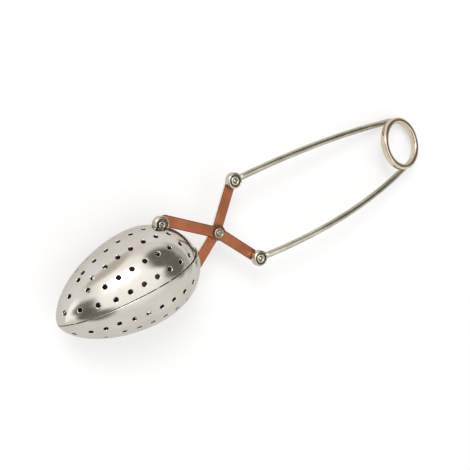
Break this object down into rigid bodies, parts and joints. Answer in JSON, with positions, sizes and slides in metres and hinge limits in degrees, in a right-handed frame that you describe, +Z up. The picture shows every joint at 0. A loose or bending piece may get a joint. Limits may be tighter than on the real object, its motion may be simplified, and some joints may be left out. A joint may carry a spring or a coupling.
{
  "type": "tea infuser",
  "caption": "Long-handled tea infuser: a perforated egg of two half shells on crossed riveted levers, held shut by a bowed wire handle with a finger ring.",
  "frame": {"origin": "middle of the assembly's bounding box on the surface that it rests on, with the egg shut and both the egg's belly and the handle's ring end touching that surface", "axes": "+X from the egg's tip along the handle to the finger ring, +Y towards the upper shell, +Z up; the rivets' axes lean 5.6 degrees from +Z towards +X"},
  "size_m": [0.1744, 0.0396, 0.0358],
  "materials": {
    "stainless_shell": "satin-polished pressed stainless sheet",
    "nickel_fittings": "turned and nickel plated, slightly warm",
    "spring_wire": "drawn wire, nickel plated, polished",
    "polished_ring": "polished, champagne tone",
    "copper_lever": "satin copper-plated strip with bare bright edges"
  },
  "bodies": {
    "back_half": {"back_lever": "copper_lever", "lower_shell": "stainless_shell", "lower_shell_lug": "nickel_fittings", "lower_front_rivet": "nickel_fittings", "upper_rear_rivet": "nickel_fittings", "centre_rivet": "nickel_fittings", "centre_washer": "nickel_fittings"},
    "front_half": {"front_lever": "copper_lever", "upper_shell": "stainless_shell", "upper_shell_lug": "nickel_fittings", "upper_front_rivet": "nickel_fittings", "lower_rear_rivet": "nickel_fittings"},
    "upper_leg": {"upper_leg": "spring_wire", "upper_leg_eye": "nickel_fittings"},
    "lower_leg": {"lower_leg": "spring_wire", "lower_leg_eye": "nickel_fittings", "finger_ring": "polished_ring"}
  },
  "joints": [
    {"name": "shell_opening", "type": "hinge", "parent": "back_half", "child": "front_half", "pos_m": [-0.01811, 0.00063, 0.0145], "axis": [-0.0976, 0, -0.9952], "range_deg": [0, 30], "stiffness_Nm_per_rad": 0.12, "springref_deg": -14.32},
    {"name": "upper_leg_pivot", "type": "hinge", "parent": "back_half", "child": "upper_leg", "pos_m": [-0.00531, 0.01668, 0.01324], "axis": [-0.0976, 0, -0.9952], "range_deg": [0, 17.2]},
    {"name": "handle_flex", "type": "hinge", "parent": "upper_leg", "child": "lower_leg", "pos_m": [0.07594, 0.00063, 0.00527], "axis": [-0.0976, 0, -0.9952], "range_deg": [-4.2, 0]}
  ],
  "couplings": [
    {"joint": "upper_leg_pivot", "follows": "shell_opening", "ratio": 0.56769},
    {"joint": "handle_flex", "follows": "shell_opening", "ratio": -0.13538}
  ]
}
